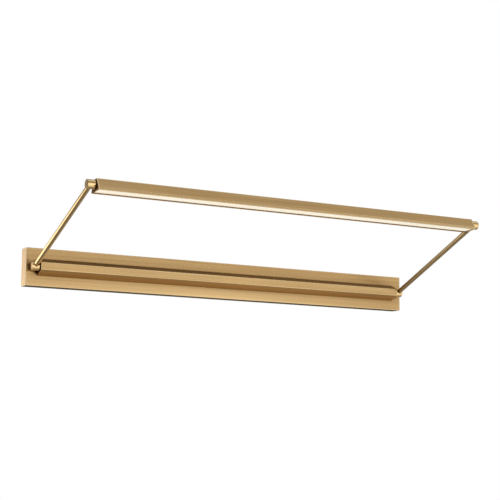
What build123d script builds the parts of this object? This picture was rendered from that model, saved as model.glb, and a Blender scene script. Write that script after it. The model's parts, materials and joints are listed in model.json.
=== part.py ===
"""Hard-wired picture light: a long wall box with a raised ridge, two tilting arms and an LED head.

Frame: +X along the wall to the viewer's right, +Y into the wall, +Z up, millimetres.
The origin is the middle of the junction-box screw pattern, on the wall face.
The arms turn about the lower axis at the ends of the ridge, the head about the upper axis.
Both are stored as the light is normally set: arms up and out, diffuser facing down.
"""

import os
from math import cos, radians, sin

from build123d import *

os.makedirs("parts", exist_ok=True)

# --- wall box ---------------------------------------------------------------------------------
COVER_LENGTH = 1067.0
COVER_HEIGHT = 90.2
COVER_DEPTH = 32.8
COVER_SHEET = 1.5
COVER_EDGE_RADIUS = 0.9
PLATE_LENGTH = 1052.0
PLATE_SHEET = 1.5
PLATE_FLANGE = 13.0          # depth of the folded top and bottom flanges
PLATE_GAP = 0.2              # between a flange and the cover around it
BOX_SCREW_SPACING = 88.9     # junction-box ears
BOX_SLOT_WIDTH = 5.0
BOX_SLOT_LENGTH = 16.0
ANCHOR_SPACING_X = 960.0
ANCHOR_SPACING_Z = 50.0
ANCHOR_HOLE = 5.5
WIRE_ENTRY_HOLE = 24.0
WIRE_ENTRY_BORE = 18.0
BUSHING_FLANGE = 31.0
BUSHING_LENGTH = 4.0
BUSHING_RADIUS = 0.8
COVER_SCREW_X = 390.0
COVER_SCREW_INSET = 5.0      # from a flange's free edge to its screws

# --- bar section shared by the ridge and the head ---------------------------------------------
BAR_BASE = 40.8
BAR_TOP = 17.6
BAR_DEPTH = 27.8
BAR_HALF_LENGTH = 506.0
BAR_WALL = 1.8
BAR_EDGE_RADIUS = 0.5
BLOCK_LENGTH = 30.0
BLOCK_GAP = 0.1
RIDGE_BASE_V = -13.2         # pivot axis to the ridge's base, which lies on the wall box
HEAD_BASE_V = -15.3          # pivot axis to the bottom of the head's lips
LIP_HEIGHT = 4.5

# --- arms and pivots --------------------------------------------------------------------------
LOWER_AXIS_Y = -46.0
ARM_LENGTH = 360.4           # pivot axis to pivot axis
ARM_ELEVATION = 23.0         # degrees above level
HEAD_TILT = 4.5              # degrees, the head's wall side down
ROD_DIAMETER = 12.0
ROD_BORE = 10.0
HUB_DIAMETER = 21.0
HUB_INNER_X = 507.6
HUB_LENGTH = 18.5
HUB_EDGE_RADIUS = 0.7
HUB_BEARING = 5.4            # length of the bored wall that turns on the pin
HUB_POCKET = 13.5            # diameter of the pocket behind the cap
CAP_THICKNESS = 2.4
CAP_CHAMFER = 0.3
ROD_SOCKET_RADIUS = 7.6      # distance from the pivot axis to the end of the rod
ROD_X = 516.6
LEAD_PASSAGE = 6.0           # bore between a rod and its hub's pocket
PIN_DIAMETER = 8.0
PIN_BORE = 5.0
PIN_THREAD = 24.0            # length screwed into the end block
PIN_COLLAR = 12.0
COLLAR_THICKNESS = 1.0
WASHER_THICKNESS = 0.5
SPRING_WASHER_THICKNESS = 1.2
NUT_THICKNESS = 3.0
NUT_DIAMETER = 12.0
PIN_PAST_NUT = 0.6
LEAD_PAST_PIN = 0.5
RUNNING_GAP = 0.05           # radial, hub bore on pin
FACE_GAP = 0.1               # axial, turning faces
STOP_RADIUS = 7.8            # stop pin's distance from the pivot axis, straight below it
STOP_PIN_DIAMETER = 2.0
STOP_PIN_LENGTH = 9.0
STOP_SLOT_WIDTH = 2.6
STOP_SLOT_DEPTH = 2.0
STOP_PIN_OUT = 3.0           # how far a stop pin stands out of the bar's end
STOP_MARGIN = 1.5            # degrees of slot past each limit
ARM_LIMITS = (-68.0, 65.0)   # degrees from the stored angle, down and up
HEAD_LIMITS = (-75.0, 105.0)  # degrees from the stored angle, to the room and to the wall

# --- head -------------------------------------------------------------------------------------
END_PLATE = 1.5
DIFFUSER_RECESS = 3.0
DIFFUSER_THICKNESS = 2.0
DIFFUSER_GROOVE = 0.7
GROOVE_PLAY = 0.1            # of the diffuser's thickness in its grooves
DIFFUSER_SIDE_GAP = 0.2      # at the bottom of each groove
RAIL_WALL = 1.5
RAIL_HALF_WIDTH = 8.6
RAIL_TOP_V = 7.6
RAIL_FOOT_HALF_WIDTH = 17.6
RAIL_SCREW_X = 490.0
RAIL_SCREW_OFFSET = 5.2
RAIL_SCREW_BITE = 4.2        # depth of a rail screw's hole in its block
RAIL_SCREW_SPARE = 0.3       # hole left under a rail screw's tip
RAIL_END_GAP = 0.3           # between the rail or the diffuser and an end plate
RAIL_FOOT_GAP = 0.1          # over the diffuser
RAIL_FOOT_BEVEL = 0.6
BLOCK_LIFT = 0.4             # head block clear of the diffuser
BOARD_WIDTH = 12.0
BOARD_THICKNESS = 1.6
LED_COUNT = 60
LED_PITCH = 15.6
LED_SIZE = (3.5, 2.8, 0.7)
BOARD_HALF_LENGTH = 470.0
CONNECTOR_SIZE = (7.0, 9.0, 7.0)
CONNECTOR_RADIUS = 0.8

# --- inside the wall box ----------------------------------------------------------------------
DRIVER_SIZE = (180.0, 22.0, 42.0)
DRIVER_CENTRE_X = -250.0
DRIVER_RADIUS = 3.0
DRIVER_CHAMFER = 1.2
DRIVER_EAR = (9.0, 14.0, 2.5)
DRIVER_EAR_HOLE = 4.6
TERMINAL_SIZE = (34.0, 15.0, 20.0)
TERMINAL_CENTRE_X = -105.0
TERMINAL_RADIUS = 1.5
TERMINAL_PITCH = 6.2
TERMINAL_ROWS = 18.0         # between the supply side's and the driver side's screws
TERMINAL_WELL = 4.2
TERMINAL_WELL_DEPTH = 6.0
TERMINAL_SCREW = 3.8
TERMINAL_SCREW_HEIGHT = 3.5
GROUND_SCREW_AT = (76.0, -26.0)
GROUND_WASHER = 10.0
GROUND_WASHER_THICKNESS = 0.8
GROUND_HEAD_HEIGHT = 3.0
GROUND_SLOT = 1.0            # width and depth of the slot in its head
LEAD_DIAMETER = 4.0
INPUT_LEAD_DIAMETER = 2.4
LEAD_EXIT_Y = -12.5
CABLE_HOLE_X = -452.0
CABLE_HOLE = 10.0
LEAD_BEND = 14.0

# --- screws -----------------------------------------------------------------------------------
M4 = 4.0
SCREW_FIT = 0.05             # radial gap of a screw in its hole
M3 = 3.0
M3_HEAD = 5.5
M3_HEAD_HEIGHT = 1.8
SCREW_HEAD = 7.6
COVER_SCREW_HEAD = 7.2       # countersunk
COVER_SCREW_SHANK = 5.0      # below the countersink
HEX_SOCKET_RADIUS = 1.3
SCREW_HEAD_HEIGHT = 2.2
RIDGE_SCREW_LENGTH = 9.0
RIDGE_SCREW_Z = 10.0
RIDGE_SCREW_SPARE = 0.5      # hole left under a ridge screw's tip
RIDGE_INNER_BLOCK_X = 170.0
BLOCK_SCREW_INSET = 18.0     # from the end of the bar to the screws of an end block

# --- derived places ---------------------------------------------------------------------------
HALF_SECTION_SLOPE = (BAR_BASE - BAR_TOP) / 2
UPPER_AXIS_Y = LOWER_AXIS_Y - ARM_LENGTH * cos(radians(ARM_ELEVATION))
UPPER_AXIS_Z = ARM_LENGTH * sin(radians(ARM_ELEVATION))
COVER_FRONT_Y = -COVER_DEPTH
COVER_INNER_Y = COVER_FRONT_Y + COVER_SHEET
HEAD_TOP_V = HEAD_BASE_V + BAR_DEPTH
HUB_OUTER_X = HUB_INNER_X + HUB_LENGTH
COLLAR_END_X = BAR_HALF_LENGTH + COLLAR_THICKNESS
SPRING_WASHER_X = HUB_INNER_X + HUB_BEARING + FACE_GAP
NUT_X = SPRING_WASHER_X + SPRING_WASHER_THICKNESS
PIN_END_X = NUT_X + NUT_THICKNESS + PIN_PAST_NUT
DIFFUSER_TOP_V = HEAD_BASE_V + DIFFUSER_RECESS + DIFFUSER_THICKNESS
SIDES = (("left", -1), ("right", 1))


def save(piece, label):
    piece.label = label
    export_step(piece, f"parts/{label}.step")


def ridge_plane(x):
    """Section plane of the ridge at x: local x is +Z, local y points out of the wall."""
    return Plane(origin=(x, LOWER_AXIS_Y, 0), x_dir=(0, 0, 1), z_dir=(1, 0, 0))


def head_plane(x):
    """Section plane of the head at x, tilted with it: local y points up out of the head."""
    tilt = radians(HEAD_TILT)
    return Plane(
        origin=(x, UPPER_AXIS_Y, UPPER_AXIS_Z),
        x_dir=(0, cos(tilt), -sin(tilt)),
        z_dir=(1, 0, 0),
    )


def pivot_plane(x, upper):
    """Plane square to a pivot axis at x, with local x along +Y."""
    centre = (x, UPPER_AXIS_Y, UPPER_AXIS_Z) if upper else (x, LOWER_AXIS_Y, 0)
    return Plane(origin=centre, x_dir=(0, 1, 0), z_dir=(1, 0, 0))


def wall_plane(y):
    """Plane parallel to the wall at y: local x is +X, local y is +Z, normal out of the wall."""
    return Plane(origin=(0, y, 0), x_dir=(1, 0, 0), z_dir=(0, -1, 0))


def rod_plane(x, distance, from_upper=False):
    """Plane square to an arm's rod at x, a distance along it from one of its two axes."""
    lean = radians(ARM_ELEVATION)
    reach = ARM_LENGTH - distance if from_upper else distance
    direction = (0, -cos(lean), sin(lean))
    if from_upper:
        direction = (0, cos(lean), -sin(lean))
    centre = (x, LOWER_AXIS_Y - reach * cos(lean), reach * sin(lean))
    return Plane(origin=centre, x_dir=(1, 0, 0), z_dir=direction)


def lead_plane(x):
    """Plane square to the leads that run along the wall box, facing its left end."""
    return Plane(origin=(x, LEAD_EXIT_Y, 0), x_dir=(0, 0, 1), z_dir=(-1, 0, 0))


def section_half_width(v, base_v, slope_start_v):
    """Outer half width of the bar at height v, sloping from slope_start_v to the top."""
    top_v = base_v + BAR_DEPTH
    share = (v - slope_start_v) / (top_v - slope_start_v)
    return BAR_BASE / 2 - HALF_SECTION_SLOPE * max(share, 0.0)


def section_outline(low_v, high_v, base_v, slope_start_v, inset):
    """Corner points of the bar section between two heights, drawn in by inset on both slopes."""
    levels = [low_v, high_v]
    if low_v < slope_start_v < high_v:
        levels.insert(1, slope_start_v)
    right = [(section_half_width(v, base_v, slope_start_v) - inset, v) for v in levels]
    left = [(-u, v) for u, v in reversed(right)]
    return right + left


def slope_inset(thickness, base_v, slope_start_v):
    """Sideways wall width that gives a sloping wall its thickness."""
    rise = base_v + BAR_DEPTH - slope_start_v
    return thickness * (rise**2 + HALF_SECTION_SLOPE**2) ** 0.5 / rise


RIDGE_WALL = slope_inset(BAR_WALL, RIDGE_BASE_V, RIDGE_BASE_V)
LIP_TOP_V = HEAD_BASE_V + LIP_HEIGHT
HEAD_WALL = slope_inset(BAR_WALL, HEAD_BASE_V, LIP_TOP_V)
RIDGE_INNER_TOP_V = RIDGE_BASE_V + BAR_DEPTH - BAR_WALL

# === wall box =================================================================================

flange_z = COVER_HEIGHT / 2 - COVER_SHEET - PLATE_GAP
cover_screw_places = [(side * COVER_SCREW_X, COVER_SCREW_INSET - PLATE_FLANGE) for side in (-1, 1)]
driver_screw_places = [
    (DRIVER_CENTRE_X + side * (DRIVER_SIZE[0] + DRIVER_EAR[0]) / 2, 0) for side in (-1, 1)
]

# Steel plate fixed to the wall, with folded flanges that carry the cover.
with BuildPart() as mounting_plate:
    with BuildSketch(wall_plane(0)):
        Rectangle(PLATE_LENGTH, 2 * flange_z)
        Circle(WIRE_ENTRY_HOLE / 2, mode=Mode.SUBTRACT)
        with GridLocations(BOX_SCREW_SPACING, 0, 2, 1):
            SlotOverall(BOX_SLOT_LENGTH, BOX_SLOT_WIDTH, mode=Mode.SUBTRACT)
        with GridLocations(ANCHOR_SPACING_X, ANCHOR_SPACING_Z, 2, 2):
            Circle(ANCHOR_HOLE / 2, mode=Mode.SUBTRACT)
    extrude(amount=PLATE_SHEET)
    with BuildSketch(wall_plane(-PLATE_SHEET)):
        with GridLocations(0, 2 * flange_z - PLATE_SHEET, 1, 2):
            Rectangle(PLATE_LENGTH, PLATE_SHEET)
    extrude(amount=PLATE_FLANGE - PLATE_SHEET)
    with BuildSketch(Plane.XY):
        with Locations(*cover_screw_places):
            Circle(M4 / 2 + SCREW_FIT)
    extrude(amount=COVER_HEIGHT / 2, both=True, mode=Mode.SUBTRACT)
    with BuildSketch(wall_plane(0)):
        with Locations(GROUND_SCREW_AT, *driver_screw_places):
            Circle(M4 / 2 + SCREW_FIT)
    extrude(amount=PLATE_SHEET, mode=Mode.SUBTRACT)
save(mounting_plate.part, "mounting_plate")

# Snap-in bushing that lines the wire entry in the plate.
with BuildPart() as wire_bushing:
    with BuildSketch(wall_plane(0)):
        Circle(WIRE_ENTRY_HOLE / 2)
    extrude(amount=PLATE_SHEET)
    with BuildSketch(wall_plane(-PLATE_SHEET)):
        Circle(BUSHING_FLANGE / 2)
    extrude(amount=BUSHING_LENGTH - PLATE_SHEET)
    fillet(wire_bushing.edges().filter_by(GeomType.CIRCLE).group_by(Axis.Y)[0], BUSHING_RADIUS)
    with BuildSketch(wall_plane(0)):
        Circle(WIRE_ENTRY_BORE / 2)
    extrude(amount=BUSHING_LENGTH, mode=Mode.SUBTRACT)
save(wire_bushing.part, "wire_bushing")

# Earth screw with its washer under the head.
with BuildPart() as ground_screw:
    with BuildSketch(wall_plane(0)):
        with Locations(GROUND_SCREW_AT):
            Circle(M4 / 2)
    extrude(amount=PLATE_SHEET)
    with BuildSketch(wall_plane(-PLATE_SHEET)):
        with Locations(GROUND_SCREW_AT):
            Circle(GROUND_WASHER / 2)
    extrude(amount=GROUND_WASHER_THICKNESS)
    with BuildSketch(wall_plane(-PLATE_SHEET - GROUND_WASHER_THICKNESS)):
        with Locations(GROUND_SCREW_AT):
            RegularPolygon(SCREW_HEAD / 2, 6)
    extrude(amount=GROUND_HEAD_HEIGHT)
    with BuildSketch(wall_plane(-PLATE_SHEET - GROUND_WASHER_THICKNESS - GROUND_HEAD_HEIGHT)):
        with Locations(GROUND_SCREW_AT):
            Rectangle(SCREW_HEAD, GROUND_SLOT)
    extrude(amount=-GROUND_SLOT, mode=Mode.SUBTRACT)
save(ground_screw.part, "ground_screw")

# Three-pole screw terminal block for the supply wires.
with BuildPart() as terminal_block:
    with BuildSketch(wall_plane(-PLATE_SHEET)):
        with Locations((TERMINAL_CENTRE_X, 0)):
            RectangleRounded(TERMINAL_SIZE[0], TERMINAL_SIZE[2], TERMINAL_RADIUS)
    extrude(amount=TERMINAL_SIZE[1])
    with BuildSketch(wall_plane(-PLATE_SHEET - TERMINAL_SIZE[1])):
        with Locations((TERMINAL_CENTRE_X, 0)):
            with GridLocations(TERMINAL_ROWS, TERMINAL_PITCH, 2, 3):
                Circle(TERMINAL_WELL / 2)
    extrude(amount=-TERMINAL_WELL_DEPTH, mode=Mode.SUBTRACT)
save(terminal_block.part, "terminal_block")

with BuildPart() as terminal_screws:
    with BuildSketch(wall_plane(-PLATE_SHEET - TERMINAL_SIZE[1] + TERMINAL_WELL_DEPTH)):
        with Locations((TERMINAL_CENTRE_X, 0)):
            with GridLocations(TERMINAL_ROWS, TERMINAL_PITCH, 2, 3):
                Circle(TERMINAL_SCREW / 2)
    extrude(amount=TERMINAL_SCREW_HEIGHT)
save(terminal_screws.part, "terminal_screws")

# Constant-voltage LED driver in its moulded case, with an ear at each end.
driver_half = DRIVER_SIZE[0] / 2
with BuildPart() as led_driver:
    with BuildSketch(wall_plane(-PLATE_SHEET)):
        with Locations((DRIVER_CENTRE_X, 0)):
            Rectangle(DRIVER_SIZE[0], DRIVER_SIZE[2])
    extrude(amount=DRIVER_SIZE[1])
    fillet(led_driver.edges().filter_by(Axis.Y), DRIVER_RADIUS)
    chamfer(led_driver.edges().group_by(Axis.Y)[0], DRIVER_CHAMFER)
    with BuildSketch(wall_plane(-PLATE_SHEET)):
        with Locations(*driver_screw_places):
            Rectangle(DRIVER_EAR[0], DRIVER_EAR[1])
            Circle(DRIVER_EAR_HOLE / 2, mode=Mode.SUBTRACT)
    extrude(amount=DRIVER_EAR[2])
save(led_driver.part, "led_driver")

with BuildPart() as driver_screws:
    with BuildSketch(wall_plane(0)):
        with Locations(*driver_screw_places):
            Circle(M4 / 2)
    extrude(amount=PLATE_SHEET + DRIVER_EAR[2])
    with BuildSketch(wall_plane(-PLATE_SHEET - DRIVER_EAR[2])):
        with Locations(*driver_screw_places):
            Circle(SCREW_HEAD / 2)
    extrude(amount=SCREW_HEAD_HEIGHT)
save(driver_screws.part, "driver_screws")

# Two supply conductors from the terminal block to the driver.
input_lead_start = TERMINAL_CENTRE_X - TERMINAL_SIZE[0] / 2
input_lead_length = input_lead_start - (DRIVER_CENTRE_X + driver_half)
with BuildPart() as input_leads:
    with BuildSketch(lead_plane(input_lead_start)):
        with GridLocations(2 * TERMINAL_PITCH, 0, 2, 1):
            Circle(INPUT_LEAD_DIAMETER / 2)
    extrude(amount=input_lead_length)
save(input_leads.part, "input_leads")

# Lead from the driver, through the cover's front and the ridge, into the left hollow pivot pin.
with BuildPart() as driver_lead:
    with BuildLine():
        FilletPolyline(
            (DRIVER_CENTRE_X - driver_half, LEAD_EXIT_Y, 0),
            (CABLE_HOLE_X, LEAD_EXIT_Y, 0),
            (CABLE_HOLE_X, LOWER_AXIS_Y, 0),
            (-PIN_END_X - LEAD_PAST_PIN, LOWER_AXIS_Y, 0),
            radius=LEAD_BEND,
        )
    with BuildSketch(lead_plane(DRIVER_CENTRE_X - driver_half)):
        Circle(LEAD_DIAMETER / 2)
    sweep()
save(driver_lead.part, "driver_lead")

ridge_block_x = (BAR_HALF_LENGTH - BLOCK_SCREW_INSET, RIDGE_INNER_BLOCK_X)
ridge_screw_places = [
    (side * x, z * RIDGE_SCREW_Z) for x in ridge_block_x for side in (-1, 1) for z in (-1, 1)
]

# Brass cover: a five-sided box open to the wall.
with BuildPart() as wall_cover:
    with BuildSketch(wall_plane(0)):
        Rectangle(COVER_LENGTH, COVER_HEIGHT)
    extrude(amount=COVER_DEPTH)
    fillet(wall_cover.edges().filter_by(Axis.Y), COVER_EDGE_RADIUS)
    fillet(wall_cover.faces().sort_by(Axis.Y)[0].edges(), COVER_EDGE_RADIUS)
    with BuildSketch(wall_plane(0)):
        Rectangle(COVER_LENGTH - 2 * COVER_SHEET, COVER_HEIGHT - 2 * COVER_SHEET)
    extrude(amount=COVER_DEPTH - COVER_SHEET, mode=Mode.SUBTRACT)
    with BuildSketch(wall_plane(COVER_INNER_Y)):
        with Locations(*ridge_screw_places):
            Circle(M4 / 2 + SCREW_FIT)
        with Locations((CABLE_HOLE_X, 0)):
            Circle(CABLE_HOLE / 2)
    extrude(amount=COVER_SHEET, mode=Mode.SUBTRACT)
    for end in (-1, 1):
        face_z = end * COVER_HEIGHT / 2
        with Locations(Plane(origin=(0, 0, face_z), x_dir=(1, 0, 0), z_dir=(0, 0, end))):
            with Locations(*[(x, end * y) for x, y in cover_screw_places]):
                CounterSinkHole(
                    M4 / 2 + SCREW_FIT,
                    COVER_SCREW_HEAD / 2 + SCREW_FIT,
                    depth=COVER_SCREW_SHANK,
                    counter_sink_angle=90,
                )
save(wall_cover.part, "wall_cover")

# Countersunk screws through the cover's top and underside into the plate's flanges.
with BuildPart() as cover_screws:
    for end in (-1, 1):
        outer = Plane(origin=(0, 0, end * COVER_HEIGHT / 2), x_dir=(1, 0, 0), z_dir=(0, 0, -end))
        head_drop = (COVER_SCREW_HEAD - M4) / 2
        for x, y in cover_screw_places:
            place = (x, -end * y)
            with BuildSketch(outer):
                with Locations(place):
                    Circle(COVER_SCREW_HEAD / 2)
            with BuildSketch(outer.offset(head_drop)):
                with Locations(place):
                    Circle(M4 / 2)
            loft()
            with BuildSketch(outer.offset(head_drop)):
                with Locations(place):
                    Circle(M4 / 2)
            extrude(amount=COVER_SCREW_SHANK)
            with BuildSketch(outer):
                with Locations(place):
                    RegularPolygon(HEX_SOCKET_RADIUS, 6)
            extrude(amount=head_drop, mode=Mode.SUBTRACT)
save(cover_screws.part, "cover_screws")

# === ridge ====================================================================================

# Folded brass channel on the front of the cover, open towards it.
with BuildPart() as ridge_cover:
    with BuildSketch(ridge_plane(-BAR_HALF_LENGTH)):
        with BuildLine():
            Polyline(
                *section_outline(RIDGE_BASE_V, RIDGE_BASE_V + BAR_DEPTH, RIDGE_BASE_V, RIDGE_BASE_V, 0),
                close=True,
            )
        make_face()
    extrude(amount=2 * BAR_HALF_LENGTH)
    fillet(ridge_cover.edges().filter_by(Axis.X).group_by(Axis.Y)[0], BAR_EDGE_RADIUS)
    with BuildSketch(ridge_plane(-BAR_HALF_LENGTH)):
        with BuildLine():
            Polyline(
                *section_outline(RIDGE_BASE_V, RIDGE_INNER_TOP_V, RIDGE_BASE_V, RIDGE_BASE_V, RIDGE_WALL),
                close=True,
            )
        make_face()
    extrude(amount=2 * BAR_HALF_LENGTH, mode=Mode.SUBTRACT)
save(ridge_cover.part, "ridge_cover")

ridge_block_outline = section_outline(
    RIDGE_BASE_V, RIDGE_INNER_TOP_V - BLOCK_GAP, RIDGE_BASE_V, RIDGE_BASE_V, RIDGE_WALL + BLOCK_GAP
)

# Machined blocks that close the ridge's ends and carry the lower pivot pins.
for side_name, side in SIDES:
    with BuildPart() as ridge_end_block:
        with BuildSketch(ridge_plane(side * BAR_HALF_LENGTH)):
            with BuildLine():
                Polyline(*ridge_block_outline, close=True)
            make_face()
        extrude(amount=-side * BLOCK_LENGTH)
        with BuildSketch(pivot_plane(side * BAR_HALF_LENGTH, upper=False)):
            Circle(PIN_DIAMETER / 2)
        extrude(amount=-side * BLOCK_LENGTH, mode=Mode.SUBTRACT)
        with BuildSketch(pivot_plane(side * BAR_HALF_LENGTH, upper=False)):
            with Locations((0, -STOP_RADIUS)):
                Circle(STOP_PIN_DIAMETER / 2)
        extrude(amount=-side * (STOP_PIN_LENGTH - STOP_PIN_OUT), mode=Mode.SUBTRACT)
        with BuildSketch(wall_plane(COVER_FRONT_Y)):
            with Locations(*[(x, z) for x, z in ridge_screw_places if side * x > RIDGE_INNER_BLOCK_X]):
                Circle(M4 / 2 + SCREW_FIT)
        extrude(amount=RIDGE_SCREW_LENGTH, mode=Mode.SUBTRACT)
    save(ridge_end_block.part, f"ridge_end_block_{side_name}")

# Shorter blocks of the same section that hold the ridge's middle down.
with BuildPart() as ridge_inner_blocks:
    for side in (-1, 1):
        with BuildSketch(ridge_plane(side * RIDGE_INNER_BLOCK_X - BLOCK_LENGTH / 4)):
            with BuildLine():
                Polyline(*ridge_block_outline, close=True)
            make_face()
        extrude(amount=BLOCK_LENGTH / 2)
    with BuildSketch(wall_plane(COVER_FRONT_Y)):
        with Locations(*[(x, z) for x, z in ridge_screw_places if abs(x) == RIDGE_INNER_BLOCK_X]):
            Circle(M4 / 2 + SCREW_FIT)
    extrude(amount=RIDGE_SCREW_LENGTH, mode=Mode.SUBTRACT)
save(ridge_inner_blocks.part, "ridge_inner_blocks")

# Screws from inside the cover into the ridge blocks.
with BuildPart() as ridge_screws:
    with BuildSketch(wall_plane(COVER_INNER_Y)):
        with Locations(*ridge_screw_places):
            Circle(M4 / 2)
    extrude(amount=COVER_SHEET + RIDGE_SCREW_LENGTH - RIDGE_SCREW_SPARE)
    with BuildSketch(wall_plane(COVER_INNER_Y)):
        with Locations(*ridge_screw_places):
            Circle(SCREW_HEAD / 2)
    extrude(amount=-SCREW_HEAD_HEIGHT)
save(ridge_screws.part, "ridge_screws")

# === pivots ===================================================================================


def pivot_pin(side, upper):
    """Hollow threaded pin with a collar, screwed into an end block."""
    inner_x = BAR_HALF_LENGTH - PIN_THREAD
    with BuildPart() as pin:
        with BuildSketch(pivot_plane(side * inner_x, upper)):
            Circle(PIN_DIAMETER / 2)
        extrude(amount=side * (PIN_END_X - inner_x))
        with BuildSketch(pivot_plane(side * BAR_HALF_LENGTH, upper)):
            Circle(PIN_COLLAR / 2)
        extrude(amount=side * COLLAR_THICKNESS)
        with BuildSketch(pivot_plane(side * inner_x, upper)):
            Circle(PIN_BORE / 2)
        extrude(amount=side * (PIN_END_X - inner_x), mode=Mode.SUBTRACT)
    return pin.part


def rings(upper, start_x, thickness, outer, inner):
    """The same ring on both ends of one pivot axis."""
    with BuildPart() as pair:
        for side in (-1, 1):
            with BuildSketch(pivot_plane(side * start_x, upper)):
                Circle(outer / 2)
                Circle(inner / 2, mode=Mode.SUBTRACT)
            extrude(amount=side * thickness)
    return pair.part


for level, upper in (("lower", False), ("upper", True)):
    for side_name, side in SIDES:
        save(pivot_pin(side, upper), f"{level}_pivot_pin_{side_name}")
    pin_hole = PIN_DIAMETER + 2 * SCREW_FIT
    friction_washers = rings(upper, COLLAR_END_X, WASHER_THICKNESS, PIN_COLLAR, pin_hole)
    save(friction_washers, f"{level}_friction_washers")
    spring_washers = rings(upper, SPRING_WASHER_X, SPRING_WASHER_THICKNESS, NUT_DIAMETER, pin_hole)
    save(spring_washers, f"{level}_spring_washers")
    pivot_nuts = rings(upper, NUT_X, NUT_THICKNESS, NUT_DIAMETER, PIN_DIAMETER)
    save(pivot_nuts, f"{level}_pivot_nuts")

    # Stop pins that stand out of the end blocks into the hubs' curved slots.
    with BuildPart() as stop_pins:
        for side in (-1, 1):
            with BuildSketch(pivot_plane(side * (BAR_HALF_LENGTH + STOP_PIN_OUT), upper)):
                with Locations((0, -STOP_RADIUS)):
                    Circle(STOP_PIN_DIAMETER / 2)
            extrude(amount=-side * STOP_PIN_LENGTH)
    save(stop_pins.part, f"{level}_stop_pins")

# === arms =====================================================================================


def hub(side, upper):
    """Hub of an arm: bored for the pin, pocketed for its nut, with a socket for the rod."""
    low, high = HEAD_LIMITS if upper else ARM_LIMITS
    with BuildPart() as body:
        with BuildSketch(pivot_plane(side * HUB_INNER_X, upper)):
            Circle(HUB_DIAMETER / 2)
        extrude(amount=side * HUB_LENGTH)
        fillet(body.edges().filter_by(GeomType.CIRCLE), HUB_EDGE_RADIUS)
        with BuildSketch(pivot_plane(side * HUB_INNER_X, upper)):
            Circle(PIN_DIAMETER / 2 + RUNNING_GAP)
        extrude(amount=side * HUB_LENGTH, mode=Mode.SUBTRACT)
        with BuildSketch(pivot_plane(side * HUB_OUTER_X, upper)):
            Circle(HUB_POCKET / 2)
        extrude(amount=side * (HUB_BEARING - HUB_LENGTH), mode=Mode.SUBTRACT)
        with BuildSketch(rod_plane(side * ROD_X, ROD_SOCKET_RADIUS, from_upper=upper)):
            Circle(ROD_DIAMETER / 2)
        extrude(amount=HUB_DIAMETER, mode=Mode.SUBTRACT)
        with BuildSketch(rod_plane(side * ROD_X, 0, from_upper=upper)):
            Circle(LEAD_PASSAGE / 2)
        extrude(amount=HUB_DIAMETER, mode=Mode.SUBTRACT)
        with BuildSketch(pivot_plane(side * HUB_INNER_X, upper)):
            with BuildLine(mode=Mode.PRIVATE):
                # The stop pin stands straight below the axis, at 270 degrees, in the stored pose.
                slot_start = 270 + low - STOP_MARGIN
                track = CenterArc((0, 0), STOP_RADIUS, slot_start, high - low + 2 * STOP_MARGIN)
            SlotArc(track, STOP_SLOT_WIDTH)
        extrude(amount=side * STOP_SLOT_DEPTH, mode=Mode.SUBTRACT)
    return body.part


def hub_cap(side, upper):
    """Plug that closes a hub's outer end."""
    with BuildPart() as cap:
        with BuildSketch(pivot_plane(side * HUB_OUTER_X, upper)):
            Circle(HUB_POCKET / 2)
        extrude(amount=-side * CAP_THICKNESS)
        chamfer(cap.edges().group_by(Axis.X)[0 if side < 0 else -1], CAP_CHAMFER)
    return cap.part


rod_length = ARM_LENGTH - 2 * ROD_SOCKET_RADIUS
for side_name, side in SIDES:
    for level, upper in (("lower", False), ("upper", True)):
        save(hub(side, upper), f"{side_name}_{level}_hub")
        save(hub_cap(side, upper), f"{side_name}_{level}_hub_cap")
    with BuildPart() as rod:
        with BuildSketch(rod_plane(side * ROD_X, ROD_SOCKET_RADIUS)):
            Circle(ROD_DIAMETER / 2)
            Circle(ROD_BORE / 2, mode=Mode.SUBTRACT)
        extrude(amount=rod_length)
    save(rod.part, f"{side_name}_rod")

# Lead inside the left rod, between its two hubs.
with BuildPart() as arm_lead:
    with BuildSketch(rod_plane(-ROD_X, ROD_SOCKET_RADIUS)):
        Circle(LEAD_DIAMETER / 2)
    extrude(amount=rod_length)
save(arm_lead.part, "arm_lead")

# === head =====================================================================================

housing_half_length = BAR_HALF_LENGTH - END_PLATE
lip_inner = BAR_BASE / 2 - BAR_WALL
slope_rise = HEAD_TOP_V - LIP_TOP_V
inner_corner_v = LIP_TOP_V - (HEAD_WALL - BAR_WALL) * slope_rise / HALF_SECTION_SLOPE
inner_top_v = HEAD_TOP_V - BAR_WALL
inner_top_half = section_half_width(inner_top_v, HEAD_BASE_V, LIP_TOP_V) - HEAD_WALL

# Extruded brass housing: trapezoid with upright lips, open below, grooved for the diffuser.
with BuildPart() as head_housing:
    with BuildSketch(head_plane(-housing_half_length)):
        with BuildLine():
            Polyline(*section_outline(HEAD_BASE_V, HEAD_TOP_V, HEAD_BASE_V, LIP_TOP_V, 0), close=True)
        make_face()
    extrude(amount=2 * housing_half_length)
    fillet(head_housing.edges().filter_by(Axis.X), BAR_EDGE_RADIUS)
    with BuildSketch(head_plane(-housing_half_length)):
        with BuildLine():
            Polyline(
                (lip_inner, HEAD_BASE_V),
                (lip_inner, inner_corner_v),
                (inner_top_half, inner_top_v),
                (-inner_top_half, inner_top_v),
                (-lip_inner, inner_corner_v),
                (-lip_inner, HEAD_BASE_V),
                close=True,
            )
        make_face()
        with Locations((0, DIFFUSER_TOP_V - DIFFUSER_THICKNESS / 2)):
            Rectangle(2 * (lip_inner + DIFFUSER_GROOVE), DIFFUSER_THICKNESS + GROOVE_PLAY)
    extrude(amount=2 * housing_half_length, mode=Mode.SUBTRACT)
save(head_housing.part, "head_housing")

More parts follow.
